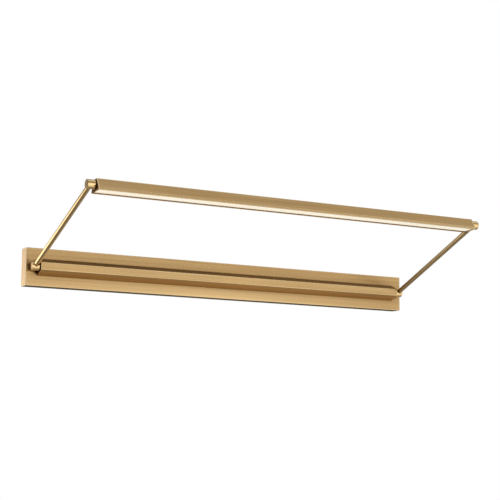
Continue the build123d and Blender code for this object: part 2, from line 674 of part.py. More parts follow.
# Flat plates that close the head's ends, clamped under the pivot pins' collars.
for side_name, side in SIDES:
    with BuildPart() as head_end_plate:
        with BuildSketch(head_plane(side * BAR_HALF_LENGTH)):
            with BuildLine():
                Polyline(*section_outline(HEAD_BASE_V, HEAD_TOP_V, HEAD_BASE_V, LIP_TOP_V, 0), close=True)
            make_face()
        extrude(amount=-side * END_PLATE)
        fillet(head_end_plate.edges().filter_by(Axis.X), BAR_EDGE_RADIUS)
        with BuildSketch(pivot_plane(side * BAR_HALF_LENGTH, upper=True)):
            Circle(PIN_DIAMETER / 2 + SCREW_FIT)
            with Locations((0, -STOP_RADIUS)):
                Circle(STOP_PIN_DIAMETER / 2 + SCREW_FIT)
        extrude(amount=-side * END_PLATE, mode=Mode.SUBTRACT)
    save(head_end_plate.part, f"head_end_plate_{side_name}")

rail_half_length = housing_half_length - RAIL_END_GAP
rail_foot_v = DIFFUSER_TOP_V + RAIL_FOOT_GAP
rail_foot_top_v = rail_foot_v + RAIL_WALL
rail_inner = RAIL_HALF_WIDTH - RAIL_WALL
rail_web_v = RAIL_TOP_V - RAIL_WALL


def across_head(v):
    """Plane across the head at height v: local x along the head, local y towards the room."""
    section = head_plane(0)
    return Plane(origin=section.from_local_coords((0, v, 0)), x_dir=(1, 0, 0), z_dir=section.y_dir)


# Aluminium rail: a hat section that carries the LED board and seats the diffuser on its feet.
with BuildPart() as led_rail:
    with BuildSketch(head_plane(-rail_half_length)):
        with BuildLine():
            half_outline = [
                (RAIL_HALF_WIDTH, RAIL_TOP_V),
                (RAIL_HALF_WIDTH, rail_foot_top_v),
                (RAIL_FOOT_HALF_WIDTH - RAIL_FOOT_BEVEL, rail_foot_top_v),
                (RAIL_FOOT_HALF_WIDTH, rail_foot_v),
                (rail_inner, rail_foot_v),
                (rail_inner, rail_web_v),
            ]
            Polyline(*half_outline, *[(-u, v) for u, v in reversed(half_outline)], close=True)
        make_face()
    extrude(amount=2 * rail_half_length)
    with BuildSketch(across_head(RAIL_TOP_V)):
        with GridLocations(2 * RAIL_SCREW_X, 2 * RAIL_SCREW_OFFSET, 2, 2):
            Circle(M3 / 2 + SCREW_FIT)
    extrude(amount=-RAIL_WALL, mode=Mode.SUBTRACT)
save(led_rail.part, "led_rail")

# Blocks inside the rail's ends that carry the upper pivot pins.
block_bottom_v = DIFFUSER_TOP_V + BLOCK_LIFT
for side_name, side in SIDES:
    with BuildPart() as head_end_block:
        with BuildSketch(head_plane(side * housing_half_length)):
            with Locations((0, (rail_web_v + block_bottom_v) / 2)):
                Rectangle(2 * (rail_inner - BLOCK_GAP), rail_web_v - block_bottom_v)
        extrude(amount=-side * (BLOCK_LENGTH - END_PLATE))
        with BuildSketch(pivot_plane(side * housing_half_length, upper=True)):
            Circle(PIN_DIAMETER / 2)
        extrude(amount=-side * BLOCK_LENGTH, mode=Mode.SUBTRACT)
        with BuildSketch(pivot_plane(side * BAR_HALF_LENGTH, upper=True)):
            with Locations((0, -STOP_RADIUS)):
                Circle(STOP_PIN_DIAMETER / 2)
        extrude(amount=-side * (STOP_PIN_LENGTH - STOP_PIN_OUT), mode=Mode.SUBTRACT)
        with BuildSketch(across_head(rail_web_v)):
            with Locations(*[(side * RAIL_SCREW_X, end * RAIL_SCREW_OFFSET) for end in (-1, 1)]):
                Circle(M3 / 2 + SCREW_FIT)
        extrude(amount=-RAIL_SCREW_BITE, mode=Mode.SUBTRACT)
    save(head_end_block.part, f"head_end_block_{side_name}")

# Screws through the rail's web into the end blocks.
with BuildPart() as rail_screws:
    with BuildSketch(across_head(RAIL_TOP_V)):
        with GridLocations(2 * RAIL_SCREW_X, 2 * RAIL_SCREW_OFFSET, 2, 2):
            Circle(M3 / 2)
    extrude(amount=-(RAIL_WALL + RAIL_SCREW_BITE - RAIL_SCREW_SPARE))
    with BuildSketch(across_head(RAIL_TOP_V)):
        with GridLocations(2 * RAIL_SCREW_X, 2 * RAIL_SCREW_OFFSET, 2, 2):
            Circle(M3_HEAD / 2)
    extrude(amount=M3_HEAD_HEIGHT)
save(rail_screws.part, "rail_screws")

# LED board under the rail's web, its row of LEDs facing the diffuser.
board_bottom_v = rail_web_v - BOARD_THICKNESS
with BuildPart() as led_board:
    with BuildSketch(across_head(rail_web_v)):
        Rectangle(2 * BOARD_HALF_LENGTH, BOARD_WIDTH)
    extrude(amount=-BOARD_THICKNESS)
save(led_board.part, "led_board")

with BuildPart() as led_chips:
    with BuildSketch(across_head(board_bottom_v)):
        with GridLocations(LED_PITCH, 0, LED_COUNT, 1):
            Rectangle(LED_SIZE[0], LED_SIZE[1])
    extrude(amount=-LED_SIZE[2])
save(led_chips.part, "led_chips")

# Plug-in connector on the board's left end, and the lead to it through the upper left pin.
with BuildPart() as board_connector:
    with BuildSketch(across_head(board_bottom_v)):
        with Locations((-BOARD_HALF_LENGTH + CONNECTOR_SIZE[0] / 2, 0)):
            RectangleRounded(CONNECTOR_SIZE[0], CONNECTOR_SIZE[1], CONNECTOR_RADIUS)
    extrude(amount=-CONNECTOR_SIZE[2])
save(board_connector.part, "board_connector")

with BuildPart() as head_lead:
    with BuildSketch(pivot_plane(-BOARD_HALF_LENGTH, upper=True)):
        Circle(LEAD_DIAMETER / 2)
    extrude(amount=-(PIN_END_X + LEAD_PAST_PIN - BOARD_HALF_LENGTH))
save(head_lead.part, "head_lead")

# Opal acrylic diffuser held in the housing's grooves.
with BuildPart() as diffuser:
    with BuildSketch(across_head(DIFFUSER_TOP_V)):
        Rectangle(2 * rail_half_length, 2 * (lip_inner + DIFFUSER_GROOVE - DIFFUSER_SIDE_GAP))
    extrude(amount=-DIFFUSER_THICKNESS)
save(diffuser.part, "diffuser")
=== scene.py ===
"""Looks of the picture light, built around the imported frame. Lengths are in metres."""

import json
import math

import bmesh
import bpy
from mathutils import Matrix, Vector


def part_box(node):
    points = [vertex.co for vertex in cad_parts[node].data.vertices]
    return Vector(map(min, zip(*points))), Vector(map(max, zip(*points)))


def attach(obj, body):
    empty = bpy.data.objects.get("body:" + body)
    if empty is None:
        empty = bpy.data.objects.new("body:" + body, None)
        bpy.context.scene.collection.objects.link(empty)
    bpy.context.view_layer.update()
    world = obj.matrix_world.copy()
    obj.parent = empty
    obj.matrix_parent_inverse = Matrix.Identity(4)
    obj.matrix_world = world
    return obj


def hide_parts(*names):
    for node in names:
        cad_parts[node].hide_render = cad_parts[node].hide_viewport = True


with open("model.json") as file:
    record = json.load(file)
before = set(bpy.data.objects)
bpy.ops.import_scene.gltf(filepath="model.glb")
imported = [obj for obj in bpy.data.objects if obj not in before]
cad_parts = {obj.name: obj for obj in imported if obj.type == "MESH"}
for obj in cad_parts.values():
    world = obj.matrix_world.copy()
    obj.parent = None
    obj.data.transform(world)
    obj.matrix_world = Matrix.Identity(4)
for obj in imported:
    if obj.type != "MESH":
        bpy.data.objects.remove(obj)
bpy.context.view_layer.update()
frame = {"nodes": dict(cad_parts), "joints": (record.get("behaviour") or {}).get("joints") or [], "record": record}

MM = 0.001

# --- camera: the viewing angle of the photograph ------------------------------------------------
CAMERA_AT = Vector((-1.5945, -3.0467, -0.4091))
CAMERA_YAW = math.radians(28.86)     # from +Y towards +X
CAMERA_PITCH = math.radians(8.17)    # up
CAMERA_ROLL = math.radians(0.55)
CAMERA_LENS = 97.39                  # mm on a 36 mm sensor


def make_camera():
    forward = Vector((
        math.sin(CAMERA_YAW) * math.cos(CAMERA_PITCH),
        math.cos(CAMERA_YAW) * math.cos(CAMERA_PITCH),
        math.sin(CAMERA_PITCH),
    ))
    right = Vector((math.cos(CAMERA_YAW), -math.sin(CAMERA_YAW), 0))
    up = right.cross(forward)
    rolled_right = right * math.cos(CAMERA_ROLL) + up * math.sin(CAMERA_ROLL)
    rolled_up = up * math.cos(CAMERA_ROLL) - right * math.sin(CAMERA_ROLL)
    data = bpy.data.cameras.new("camera")
    data.lens = CAMERA_LENS
    data.sensor_width = 36
    data.clip_end = 100
    camera = bpy.data.objects.new("camera", data)
    turn = Matrix((rolled_right, rolled_up, -forward)).transposed().to_4x4()
    camera.matrix_world = Matrix.Translation(CAMERA_AT) @ turn
    bpy.context.collection.objects.link(camera)
    bpy.context.scene.camera = camera


# --- studio ---------------------------------------------------------------------------------------
FLOOR_Z = -2.2
FLOOR_RADIUS = 9.0
FLOOR_GLOW = 0.45            # keeps the floor pale under the dim sides of the surround


def make_floor():
    mesh = bpy.data.meshes.new("floor")
    shape = bmesh.new()
    bmesh.ops.create_circle(shape, cap_ends=True, segments=96, radius=FLOOR_RADIUS)
    bmesh.ops.translate(shape, verts=shape.verts, vec=(0, 0, FLOOR_Z))
    shape.to_mesh(mesh)
    shape.free()
    floor = bpy.data.objects.new("floor", mesh)
    bpy.context.collection.objects.link(floor)
    # The surround also lights from below, so the floor is left out of the light and the reflections.
    floor.visible_diffuse = False
    floor.visible_glossy = False
    floor.visible_shadow = False
    material = bpy.data.materials.new("floor")
    material.use_nodes = True
    principled = material.node_tree.nodes["Principled BSDF"]
    principled.inputs["Base Color"].default_value = (0.86, 0.86, 0.85, 1)
    principled.inputs["Roughness"].default_value = 0.9
    principled.inputs["Emission Color"].default_value = (1, 1, 1, 1)
    principled.inputs["Emission Strength"].default_value = FLOOR_GLOW
    mesh.materials.append(material)


SURROUND_BASE = 0.34         # strength of the surround outside every lobe
# Soft lobes of the surround: name, azimuth from -Y towards +X, elevation, the radii inside which a
# lobe is full and outside which it is gone (all in degrees), and the strength that it adds.
SURROUND_LOBES = (
    ("front", 30, -2, 10, 40, 0.66),
    ("front_hot", 20, -9, 5, 18, 0.60),
    ("front_high", 34, 40, 8, 28, -0.26),
    ("overhead", 66, 60, 8, 34, 0.48),
    ("low", 33, -40, 8, 32, 0.62),
    ("left_low", -126, -25, 6, 24, 0.14),
    ("behind_left", -138, 6, 5, 20, -0.22),
    ("behind_low", -160, -60, 10, 40, -0.16),
    ("behind_right", 151, -2, 12, 36, -0.28),
)


def surround_strength(tree, direction):
    """Sum of the base and every lobe, as a socket."""
    total = None
    for name, azimuth, elevation, full, zero, strength in SURROUND_LOBES:
        east, up = math.radians(azimuth), math.radians(elevation)
        dot = tree.nodes.new("ShaderNodeVectorMath")
        dot.operation = "DOT_PRODUCT"
        dot.label = name
        dot.inputs[1].default_value = (
            math.sin(east) * math.cos(up),
            -math.cos(east) * math.cos(up),
            math.sin(up),
        )
        tree.links.new(direction, dot.inputs[0])
        lobe = tree.nodes.new("ShaderNodeMapRange")
        lobe.interpolation_type = "SMOOTHSTEP"
        lobe.inputs["From Min"].default_value = math.cos(math.radians(zero))
        lobe.inputs["From Max"].default_value = math.cos(math.radians(full))
        lobe.inputs["To Max"].default_value = strength
        lobe.inputs["To Min"].default_value = 0.0
        tree.links.new(dot.outputs["Value"], lobe.inputs["Value"])
        add = tree.nodes.new("ShaderNodeMath")
        add.operation = "ADD"
        tree.links.new(lobe.outputs["Result"], add.inputs[0])
        if total is None:
            add.inputs[1].default_value = SURROUND_BASE
        else:
            tree.links.new(total, add.inputs[1])
        total = add.outputs[0]
    return total


def make_world():
    """Plain white to the eye, a soft graded surround to the metal."""
    world = bpy.data.worlds.new("studio")
    world.use_nodes = True
    tree = world.node_tree
    tree.nodes.clear()
    output = tree.nodes.new("ShaderNodeOutputWorld")
    mix = tree.nodes.new("ShaderNodeMixShader")
    rays = tree.nodes.new("ShaderNodeLightPath")
    seen = tree.nodes.new("ShaderNodeBackground")
    seen.inputs["Color"].default_value = (1, 1, 1, 1)
    surround = tree.nodes.new("ShaderNodeBackground")
    surround.inputs["Color"].default_value = (1, 1, 1, 1)
    direction = tree.nodes.new("ShaderNodeTexCoord").outputs["Generated"]
    tree.links.new(surround_strength(tree, direction), surround.inputs["Strength"])
    tree.links.new(rays.outputs["Is Camera Ray"], mix.inputs["Fac"])
    tree.links.new(surround.outputs[0], mix.inputs[1])
    tree.links.new(seen.outputs[0], mix.inputs[2])
    tree.links.new(mix.outputs[0], output.inputs["Surface"])
    bpy.context.scene.world = world


# name, place, point aimed at, (width, height), power in watts
SOFTBOXES = (
    ("rod_card", (-1.06, 0.43, -0.21), (-0.52, -0.21, 0.07), (0.34, 0.5), 0.68),
    ("end_card", (-0.88, 0.87, -0.05), (-0.53, -0.05, 0.0), (0.6, 0.55), 1.20),
)


def make_softboxes():
    for name, place, aim, size, power in SOFTBOXES:
        data = bpy.data.lights.new(name, "AREA")
        data.shape = "RECTANGLE"
        data.size, data.size_y = size
        data.energy = power
        light = bpy.data.objects.new(name, data)
        light.location = place
        light.visible_camera = False
        light.rotation_mode = "QUATERNION"
        light.rotation_quaternion = (Vector(aim) - Vector(place)).to_track_quat("-Z", "Y")
        bpy.context.collection.objects.link(light)


# --- shader nodes -----------------------------------------------------------------------------------
NOISE_DRIFT = (1.0, 1.7, 0.6)    # where a noise starts, per unit of its seed
NOISE_ROUGHNESS = 0.55
BEVEL_SAMPLES = 6
OCCLUSION_SAMPLES = 8


class Shader:
    """A material with its Principled node and short helpers for the nodes that feed it."""

    def __init__(self, name, **fixed):
        self.material = bpy.data.materials.new(name)
        self.material.use_nodes = True
        self.nodes = self.material.node_tree.nodes
        self.links = self.material.node_tree.links
        self.principled = self.nodes["Principled BSDF"]
        self.place = self.nodes.new("ShaderNodeTexCoord").outputs["Object"]
        for socket, value in fixed.items():
            self.principled.inputs[socket.replace("_", " ")].default_value = value

    def feed(self, socket, source):
        self.links.new(source, self.principled.inputs[socket])

    def noise(self, stretch, detail=3.0, seed=0.0):
        """Noise with its own number of features per metre along X, Y and Z."""
        mapping = self.nodes.new("ShaderNodeMapping")
        mapping.inputs["Scale"].default_value = stretch
        mapping.inputs["Location"].default_value = Vector(NOISE_DRIFT) * seed
        texture = self.nodes.new("ShaderNodeTexNoise")
        texture.inputs["Scale"].default_value = 1.0
        texture.inputs["Detail"].default_value = detail
        texture.inputs["Roughness"].default_value = NOISE_ROUGHNESS
        self.links.new(self.place, mapping.inputs["Vector"])
        self.links.new(mapping.outputs[0], texture.inputs["Vector"])
        return texture.outputs["Fac"]

    def faces_along_x(self):
        """1 on the end faces, whose normals lie along X, 0 on the long faces."""
        split = self.nodes.new("ShaderNodeSeparateXYZ")
        self.links.new(self.nodes.new("ShaderNodeNewGeometry").outputs["Normal"], split.inputs[0])
        return self.remap(self.math("ABSOLUTE", split.outputs["X"]), 0.6, 0.8)

    def place_along(self, axis):
        """The place along one axis of the piece's own space, in metres."""
        split = self.nodes.new("ShaderNodeSeparateXYZ")
        self.links.new(self.place, split.inputs[0])
        return split.outputs[axis]

    def brushed(self, ends, along, across, **kind):
        """Noise drawn out along X on the long faces and along Z on the end faces."""
        long_faces = self.noise((along, across, across), **kind)
        end_faces = self.noise((across, across, along), **kind)
        return self.mix(ends, long_faces, end_faces)

    def cells(self, scale):
        """A random grey in every cell, with that many cells per metre."""
        texture = self.nodes.new("ShaderNodeTexVoronoi")
        texture.inputs["Scale"].default_value = scale
        self.links.new(self.place, texture.inputs["Vector"])
        grey = self.nodes.new("ShaderNodeRGBToBW")
        self.links.new(texture.outputs["Color"], grey.inputs[0])
        return grey.outputs[0]

    def remap(self, source, low, high, to_low=0.0, to_high=1.0):
        """Moves low...high to to_low...to_high and holds what lies outside."""
        node = self.nodes.new("ShaderNodeMapRange")
        node.inputs["From Min"].default_value = low
        node.inputs["From Max"].default_value = high
        node.inputs["To Min"].default_value = to_low
        node.inputs["To Max"].default_value = to_high
        self.links.new(source, node.inputs["Value"])
        return node.outputs["Result"]

    def math(self, operation, first, second=0.0):
        """Result of an operation on one or two sockets or numbers."""
        node = self.nodes.new("ShaderNodeMath")
        node.operation = operation
        for socket, value in zip(node.inputs, (first, second)):
            if isinstance(value, (int, float)):
                socket.default_value = value
            else:
                self.links.new(value, socket)
        return node.outputs[0]

    def mix(self, factor, first, second):
        """Colour mix by a factor socket; first and second are colours or sockets."""
        node = self.nodes.new("ShaderNodeMix")
        node.data_type = "RGBA"
        sockets = [s for s in node.inputs if s.enabled]
        for socket, value in zip(sockets, (factor, first, second)):
            if isinstance(value, tuple):
                socket.default_value = (*value, 1)
            else:
                self.links.new(value, socket)
        return [s for s in node.outputs if s.enabled][0]

    def bump(self, height, depth, strength):
        node = self.nodes.new("ShaderNodeBump")
        node.inputs["Distance"].default_value = depth
        node.inputs["Strength"].default_value = strength
        self.links.new(height, node.inputs["Height"])
        return node.outputs["Normal"]

    def edge_band(self, radius, low=0.02, high=0.25):
        """1 beside sharp edges, 0 on flat faces; low and high are bends of the rounded normal."""
        bevel = self.nodes.new("ShaderNodeBevel")
        bevel.samples = BEVEL_SAMPLES
        bevel.inputs["Radius"].default_value = radius
        geometry = self.nodes.new("ShaderNodeNewGeometry")
        dot = self.nodes.new("ShaderNodeVectorMath")
        dot.operation = "DOT_PRODUCT"
        self.links.new(bevel.outputs[0], dot.inputs[0])
        self.links.new(geometry.outputs["Normal"], dot.inputs[1])
        bend = self.math("SUBTRACT", 1.0, dot.outputs["Value"])
        return self.remap(bend, low, high)

    def recesses(self, reach, low=0.35, high=0.9):
        """1 in corners and narrow gaps, 0 on open faces; low and high are shares of open sky."""
        occlusion = self.nodes.new("ShaderNodeAmbientOcclusion")
        occlusion.samples = OCCLUSION_SAMPLES
        occlusion.inputs["Distance"].default_value = reach
        return self.remap(occlusion.outputs["AO"], high, low)


# --- materials: noise scales are in features per metre ------------------------------------------------
BRASS = (0.60, 0.375, 0.155)
BRASS_DARK = (0.40, 0.24, 0.09)
BRASS_OLIVE = (0.54, 0.355, 0.155)
BRASS_WORN = (0.68, 0.48, 0.24)
# pale edge brass: partly wear, partly a painted highlight
BRASS_WORN_AND_HIGHLIT = (0.95, 0.72, 0.40)
# paler brass of the painted sheen that stands in for light from below
BRASS_PAINTED_SHEEN = (0.86, 0.60, 0.29)
# dark brass of patina and of painted shade in recesses
BRASS_PATINA_AND_SHADE = (0.24, 0.13, 0.048)
# near-black painted contact shadow in corners and gaps
BRASS_PAINTED_CONTACT_SHADOW = (0.06, 0.035, 0.018)
BRASS_BUFFED = (0.90, 0.64, 0.32)
BRASS_BUFFED_DARK = (0.82, 0.56, 0.25)
ZINC = (0.80, 0.82, 0.83)
ZINC_DULL = (0.68, 0.70, 0.71)
OPAL = (0.96, 0.93, 0.85)
OPAL_DARK = (0.93, 0.89, 0.79)
LAMPLIGHT = (1.0, 0.92, 0.74)
LAMPLIGHT_WARM = (1.0, 0.88, 0.66)
LIGHTENED_SHARE = 0.3        # how much paler a rubbed edge is than the colour beside it
METAL_SPREAD = 0.06          # roughness changes by this much either way over a plain metal...
PLASTIC_SPREAD = 0.05        # ...and by this much over a moulding

EDGE_WEAR_AND_HIGHLIGHT_RADIUS = 3 * MM         # how far the paler edges reach on the brushed brass, partly wear and partly a painted highlight
FINE_WEAR_RADIUS = 0.5 * MM  # how far edge wear reaches on small pieces
PATINA_AND_SHADE_REACH = 45 * MM       # how far the dark patina and painted shade reach out of a recess
CORNER_SHADE_REACH = 12 * MM       # how far the painted contact shadow in corners reaches
PAINTED_SHEEN_TOP = -20 * MM        # the painted sheen, a paler lower strip of the wall box standing in for light from below, starts at this height...
PAINTED_SHEEN_FULL = -44 * MM       # ...and is full at this one
PAINTED_SHEEN_MIDDLE = 50 * MM      # it is strongest within this distance of the middle...
PAINTED_SHEEN_ENDS = 500 * MM       # ...and weakest at this one


def brushed_colour(shader, ends, streaks, fine):
    """Brass in long brushed streaks over slow clouds of tone."""
    clouds = shader.noise((5.0, 16.0, 16.0), detail=2, seed=1.3)
    bands = shader.brushed(ends, 1.4, 75.0, detail=3, seed=5.9)
    colour = shader.mix(shader.remap(clouds, 0.35, 0.65), BRASS, BRASS_OLIVE)
    colour = shader.mix(shader.remap(bands, 0.36, 0.64, to_high=0.45), colour, BRASS_WORN)
    colour = shader.mix(shader.remap(streaks, 0.35, 0.75, to_high=0.75), colour, BRASS_DARK)
    return shader.mix(shader.remap(fine, 0.4, 0.8, to_high=0.30), colour, BRASS_WORN)


def painted_sheen_and_edges(shader, colour):
    """The colour with a painted sheen, a paler strip low on the wall box, most in its middle, that stands in for
    light from below; and paler edges, partly wear and partly a painted highlight.
    """
    # painted light: the paler lower strip stands in for light from below, brightest mid-box
    below = shader.remap(shader.place_along("Z"), PAINTED_SHEEN_TOP, PAINTED_SHEEN_FULL)
    from_middle = shader.math("ABSOLUTE", shader.place_along("X"))
    middle = shader.remap(from_middle, PAINTED_SHEEN_ENDS, PAINTED_SHEEN_MIDDLE, to_low=0.15, to_high=0.75)
    colour = shader.mix(shader.math("MULTIPLY", below, middle), colour, BRASS_PAINTED_SHEEN)
    # paler edges: partly wear, partly a painted highlight on the rounded edges
    edges = shader.edge_band(EDGE_WEAR_AND_HIGHLIGHT_RADIUS, low=0.003, high=0.05)
    return shader.mix(shader.math("MULTIPLY", edges, 0.8), colour, BRASS_WORN_AND_HIGHLIT)


def with_patina_and_painted_shade(shader, ends, colour):
    """The colour darkened in recesses, patina and painted shade, and blackened in corners as a painted contact
    shadow, both less on end faces.
    """
    # patina and painted shade: darker in recesses
    recesses = shader.recesses(PATINA_AND_SHADE_REACH, low=0.4, high=0.97)
    patina_and_shade = shader.math("MULTIPLY", recesses, shader.remap(ends, 0.0, 1.0, to_low=0.75, to_high=0.30))
    colour = shader.mix(patina_and_shade, colour, BRASS_PATINA_AND_SHADE)
    # painted contact shadow: near-black in corners and narrow gaps
    corners = shader.recesses(CORNER_SHADE_REACH, low=0.50, high=0.72)
    painted_contact_shadow = shader.math("MULTIPLY", corners, shader.remap(ends, 0.0, 1.0, to_low=0.9, to_high=0.35))
    return shader.mix(painted_contact_shadow, colour, BRASS_PAINTED_CONTACT_SHADOW)


def brushed_brass():
    """Aged brass brushed along the wall: long streaks, fine scratches, paler edges that are partly wear and partly
    a painted highlight, a painted sheen low on it, patina with painted shade in its recesses.
    """
    shader = Shader("brushed_brass", Metallic=1.0, Anisotropic=0.4, Anisotropic_Rotation=0.25)
    ends = shader.faces_along_x()
    streaks = shader.brushed(ends, 3.0, 260.0, detail=4, seed=3.1)
    fine = shader.brushed(ends, 9.0, 1900.0, detail=3, seed=7.7)
    colour = painted_sheen_and_edges(shader, brushed_colour(shader, ends, streaks, fine))
    shader.feed("Base Color", with_patina_and_painted_shade(shader, ends, colour))
    shader.feed("Roughness", shader.remap(fine, 0.3, 0.7, to_low=0.22, to_high=0.32))
    height = shader.math("ADD", shader.math("MULTIPLY", fine, 0.6), shader.math("MULTIPLY", streaks, 0.4))
    shader.feed("Normal", shader.bump(height, depth=0.06 * MM, strength=0.6))
    tangent = shader.nodes.new("ShaderNodeCombineXYZ")
    tangent.inputs["X"].default_value = 1.0
    shader.feed("Tangent", tangent.outputs[0])
    return shader.material


def polished_brass():
    """Turned and buffed brass of the rods and hubs, in the same aged tone, with patina and painted contact shadow
    in its corners.
    """
    shader = Shader("polished_brass", Metallic=1.0)
    clouds = shader.noise((60.0, 60.0, 60.0), detail=3, seed=4.0)
    fine = shader.noise((900.0, 900.0, 900.0), detail=2, seed=2.0)
    colour = shader.mix(shader.remap(clouds, 0.35, 0.7), BRASS_BUFFED, BRASS_BUFFED_DARK)
    # patina and painted contact shadow round the joints of hub and rod
    patina_and_shade = shader.math("MULTIPLY", shader.recesses(CORNER_SHADE_REACH), 0.8)
    colour = shader.mix(patina_and_shade, colour, BRASS_PATINA_AND_SHADE)
    edges = shader.edge_band(0.6 * MM)
    colour = shader.mix(shader.math("MULTIPLY", edges, 0.6), colour, BRASS_WORN)
    shader.feed("Base Color", colour)
    shader.feed("Roughness", shader.remap(fine, 0.3, 0.7, to_low=0.15, to_high=0.22))
    shader.feed("Normal", shader.bump(fine, depth=0.03 * MM, strength=0.3))
    return shader.material


def lightened(colour):
    """The colour made paler, most in its middle tones, as on rubbed edges."""
    return tuple(value + LIGHTENED_SHARE * (1 - value) * value for value in colour)


def plain_metal(name, first, second, roughness):
    """Finely grained metal between two tones."""
    shader = Shader(name, Metallic=1.0)
    grain = shader.noise((400.0,) * 3, detail=3, seed=5.0)
    colour = shader.mix(shader.remap(grain, 0.35, 0.65), first, second)
    shader.feed("Base Color", shader.mix(shader.edge_band(FINE_WEAR_RADIUS), colour, lightened(first)))
    smoothest, roughest = roughness - METAL_SPREAD, roughness + METAL_SPREAD
    shader.feed("Roughness", shader.remap(grain, 0.3, 0.7, to_low=smoothest, to_high=roughest))
    shader.feed("Normal", shader.bump(grain, depth=0.03 * MM, strength=0.4))
    return shader.material


def galvanised_steel():
    """Zinc spangle, each crystal with its own grey and gloss."""
    shader = Shader("galvanised_steel", Metallic=1.0)
    spangle = shader.cells(90.0)
    zinc = shader.mix(shader.remap(spangle, 0.2, 0.8), ZINC_DULL, ZINC)
    shader.feed("Base Color", shader.mix(shader.edge_band(0.8 * MM), zinc, lightened(ZINC)))
    shader.feed("Roughness", shader.remap(spangle, 0.2, 0.8, to_low=0.34, to_high=0.52))
    shader.feed("Normal", shader.bump(shader.noise((300.0,) * 3), depth=0.04 * MM, strength=0.3))
    return shader.material


def moulded(name, first, second, roughness):
    """Moulded or extruded plastic with a faint grain and slow changes of tone."""
    shader = Shader(name)
    grain = shader.noise((1200.0,) * 3, detail=2, seed=6.0)
    tone = shader.noise((25.0,) * 3, detail=2, seed=9.0)
    colour = shader.mix(shader.remap(tone, 0.3, 0.7), first, second)
    shader.feed("Base Color", shader.mix(shader.edge_band(FINE_WEAR_RADIUS), colour, lightened(first)))
    smoothest, roughest = roughness - PLASTIC_SPREAD, roughness + PLASTIC_SPREAD
    shader.feed("Roughness", shader.remap(grain, 0.3, 0.7, to_low=smoothest, to_high=roughest))
    shader.feed("Normal", shader.bump(grain, depth=0.05 * MM, strength=0.5))
    return shader.material


def opal_acrylic():
    """Satin opal sheet that glows a little warm."""
    shader = Shader(
        "opal_acrylic",
        IOR=1.49,
        Subsurface_Weight=0.25,
        Subsurface_Radius=(4 * MM, 4 * MM, 3 * MM),
        Subsurface_Scale=1.0,
        Emission_Strength=0.60,
    )
    tone = shader.remap(shader.noise((12.0, 60.0, 60.0), detail=2, seed=8.0), 0.3, 0.7)
    grain = shader.noise((1500.0,) * 3, detail=2, seed=2.5)
    sheet = shader.mix(tone, OPAL_DARK, OPAL)
    shader.feed("Base Color", shader.mix(shader.edge_band(FINE_WEAR_RADIUS), sheet, lightened(OPAL)))
    shader.feed("Emission Color", shader.mix(tone, LAMPLIGHT_WARM, LAMPLIGHT))
    shader.feed("Roughness", shader.remap(grain, 0.3, 0.7, to_low=0.30, to_high=0.40))
    shader.feed("Normal", shader.bump(grain, depth=0.02 * MM, strength=0.3))
    return shader.material


# slot, two tones, roughness
PLAIN_METALS = (
    ("machined_brass", (0.72, 0.52, 0.22), (0.60, 0.42, 0.17), 0.28),
    ("brass_screw", (0.60, 0.42, 0.20), (0.48, 0.33, 0.14), 0.30),
    ("zinc_steel", (0.62, 0.63, 0.64), (0.50, 0.51, 0.53), 0.30),
    ("green_screw", (0.04, 0.30, 0.10), (0.03, 0.22, 0.07), 0.38),
    ("anodised_aluminium", (0.70, 0.71, 0.72), (0.62, 0.63, 0.65), 0.38),
)
MOULDINGS = (
    ("white_board", (0.88, 0.88, 0.86), (0.84, 0.85, 0.83), 0.30),
    ("led_phosphor", (0.90, 0.74, 0.20), (0.93, 0.80, 0.30), 0.35),
    ("driver_case", (0.80, 0.80, 0.78), (0.74, 0.74, 0.72), 0.55),
    ("white_polyamide", (0.86, 0.85, 0.80), (0.80, 0.79, 0.74), 0.45),
    ("black_nylon", (0.020, 0.020, 0.021), (0.030, 0.030, 0.030), 0.45),
    ("friction_nylon", (0.05, 0.04, 0.03), (0.08, 0.06, 0.045), 0.50),
    ("lead_insulation", (0.03, 0.03, 0.032), (0.045, 0.045, 0.045), 0.48),
)


def make_materials():
    """Every material under the name of its slot."""
    made = {
        "brushed_brass": brushed_brass(),
        "polished_brass": polished_brass(),
        "galvanised_steel": galvanised_steel(),
        "opal_acrylic": opal_acrylic(),
    }
    made |= {row[0]: plain_metal(*row) for row in PLAIN_METALS}
    made |= {row[0]: moulded(*row) for row in MOULDINGS}
    return made


def finish_cad_nodes(materials):
    """Every CAD node that stays gets its slot's material."""
    slots = {part["node"]: part["material_slot"] for part in frame["record"]["subparts"]}
    for name, node in frame["nodes"].items():
        node.data.materials.clear()
        node.data.materials.append(materials[slots[name]])


# --- finer pieces -----------------------------------------------------------------------------------
ROUND = 96                   # segments around a turned piece
ROD_RADIUS = 6.0 * MM
TUBE_WALL = 1.0 * MM
ROD_SOCKET = 7.6 * MM        # from a pivot axis to the end of the rod
HUB_RADIUS = 10.5 * MM
HUB_EDGE = 0.7 * MM
EDGE_STEPS = 8               # steps round a rounded edge
HUB_BORE = 4.05 * MM
HUB_WALL = 5.4 * MM          # bored wall in front of the pocket
HUB_POCKET = 6.75 * MM
MOUTH_CHAMFER = 0.2 * MM
SLOT_RADIUS = 7.8 * MM
SLOT_HALF_WIDTH = 1.3 * MM
SLOT_DEPTH = 2.0 * MM
SLOT_MARGIN = 1.5            # degrees past each limit
SLOT_STEPS = 48              # steps along the slot...
SLOT_END_STEPS = 12          # ...and round each of its ends
CAP_CHAMFER = 0.3 * MM
CAP_DOME = 0.25 * MM
CAP_STEPS = 8
SOLDER_FILLET = 0.7 * MM
SOLDER_HOLLOW = 0.3 * SOLDER_FILLET
SCREW_HEAD = 3.6 * MM
SCREW_SHANK = 2.0 * MM
SCREW_LENGTH = 6.6 * MM
SCREW_SOCKET = 1.3 * MM
SCREW_SOCKET_DEPTH = 1.6 * MM
SCREW_ROUNDING = 0.25 * MM
